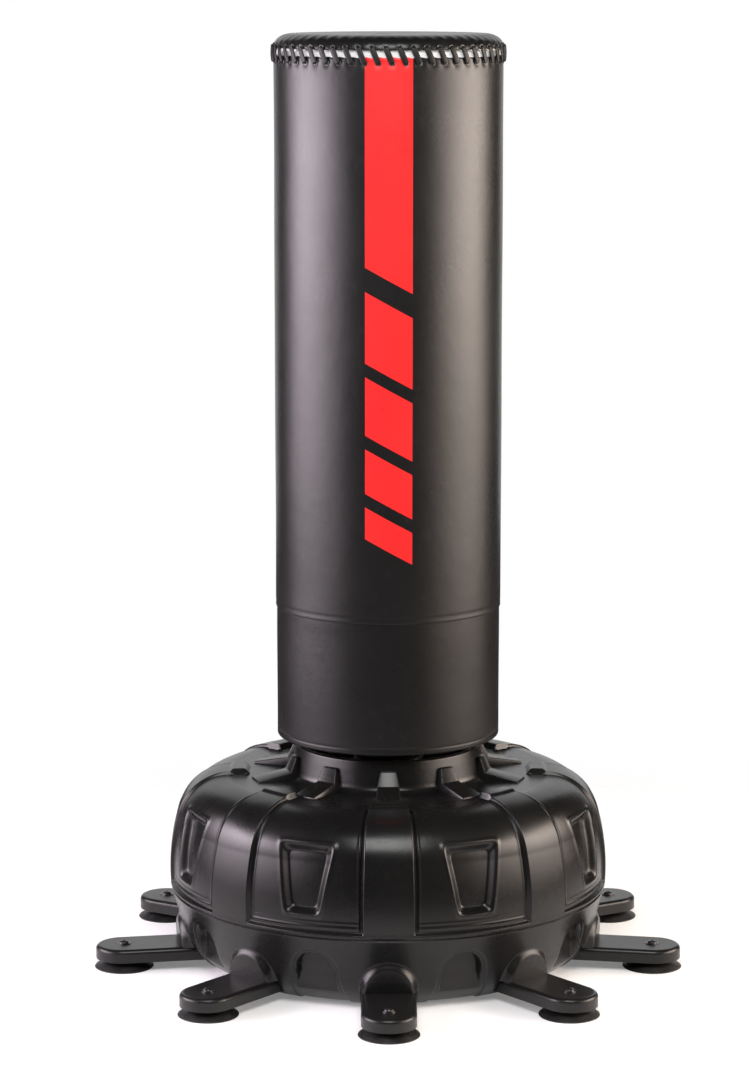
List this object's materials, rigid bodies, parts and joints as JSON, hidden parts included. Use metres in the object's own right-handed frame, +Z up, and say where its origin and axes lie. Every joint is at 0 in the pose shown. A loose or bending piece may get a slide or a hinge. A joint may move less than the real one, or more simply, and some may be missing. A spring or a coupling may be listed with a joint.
{
  "type": "free-standing punching bag on a ballasted base",
  "caption": "Free-standing padded cylindrical striking bag with a laced cap, on a coil spring over a ribbed ballast tank with radial legs and suction cups.",
  "frame": {"origin": "centre of the tank's flat underside, on the floor", "axes": "+Z up along the bag's axis; -Y is the front, where the stripe is; +X is to the right seen from the front"},
  "size_m": [1.0662, 1.0516, 1.6762],
  "materials": {
    "tank_plastic": "satin moulded black polyethylene",
    "leg_plastic": "satin moulded black nylon",
    "plug_plastic": "satin black",
    "water_fill": "clear water fill, hidden in the tank",
    "cup_rubber": "satin black rubber",
    "zinc_steel": "satin zinc-plated steel",
    "coated_steel": "satin black powder coat",
    "plywood": "matte birch plywood",
    "foam": "matte closed-cell foam",
    "liner": "matte light woven liner",
    "grained_leather": "satin grained black synthetic leather with a red front stripe",
    "lace_cord": "matte black braided cord"
  },
  "bodies": {
    "base": {"base_tank": "tank_plastic", "ballast_water": "water_fill", "leg_1": "leg_plastic", "leg_2": "leg_plastic", "leg_3": "leg_plastic", "leg_4": "leg_plastic", "leg_5": "leg_plastic", "leg_6": "leg_plastic", "leg_7": "leg_plastic", "leg_8": "leg_plastic", "leg_9": "leg_plastic", "suction_cup_1": "cup_rubber", "suction_cup_2": "cup_rubber", "suction_cup_3": "cup_rubber", "suction_cup_4": "cup_rubber", "suction_cup_5": "cup_rubber", "suction_cup_6": "cup_rubber", "suction_cup_7": "cup_rubber", "suction_cup_8": "cup_rubber", "suction_cup_9": "cup_rubber", "cup_screw_1": "zinc_steel", "cup_screw_2": "zinc_steel", "cup_screw_3": "zinc_steel", "cup_screw_4": "zinc_steel", "cup_screw_5": "zinc_steel", "cup_screw_6": "zinc_steel", "cup_screw_7": "zinc_steel", "cup_screw_8": "zinc_steel", "cup_screw_9": "zinc_steel", "cup_washers": "zinc_steel", "leg_bolts": "zinc_steel", "spring_base_plate": "coated_steel", "base_plate_bolts": "zinc_steel"},
    "spring": {"coil_spring": "coated_steel"},
    "bag": {"spring_top_plate": "coated_steel", "bag_base_board": "plywood", "core_drum": "tank_plastic", "core_clamp_ring": "zinc_steel", "core_bolts": "zinc_steel", "core_nuts": "zinc_steel", "foam_core": "foam", "top_board": "plywood", "top_pad": "foam", "lace_band": "liner", "bag_cover": "grained_leather", "lower_sleeve": "grained_leather", "top_cap": "grained_leather", "lacing": "lace_cord", "eyelets": "zinc_steel"},
    "plug_seal": {"fill_plug_seal": "cup_rubber"},
    "plug": {"fill_plug": "plug_plastic"}
  },
  "joints": [
    {"name": "lean_sideways", "type": "hinge", "parent": "base", "child": "spring", "pos_m": [0, 0, 0.364], "axis": [0, 1, 0], "range_deg": [-4, 4], "stiffness_Nm_per_rad": 1500, "deforming": ["coil_spring"]},
    {"name": "lean_fore_aft", "type": "hinge", "parent": "spring", "child": "bag", "pos_m": [0, 0, 0.364], "axis": [1, 0, 0], "range_deg": [-4, 4], "stiffness_Nm_per_rad": 1500, "deforming": ["coil_spring"]},
    {"name": "plug_lift", "type": "slide", "parent": "base", "child": "plug_seal", "axis": [0, 0, 1], "range_m": [0, 0.015]},
    {"name": "plug_turn", "type": "hinge", "parent": "plug_seal", "child": "plug", "pos_m": [0.07509, 0.23111, 0.342], "axis": [0, 0, 1], "range_deg": [0, 1080]}
  ],
  "couplings": [
    {"joint": "plug_turn", "follows": "plug_lift", "rad_per_m": 1256.6}
  ]
}
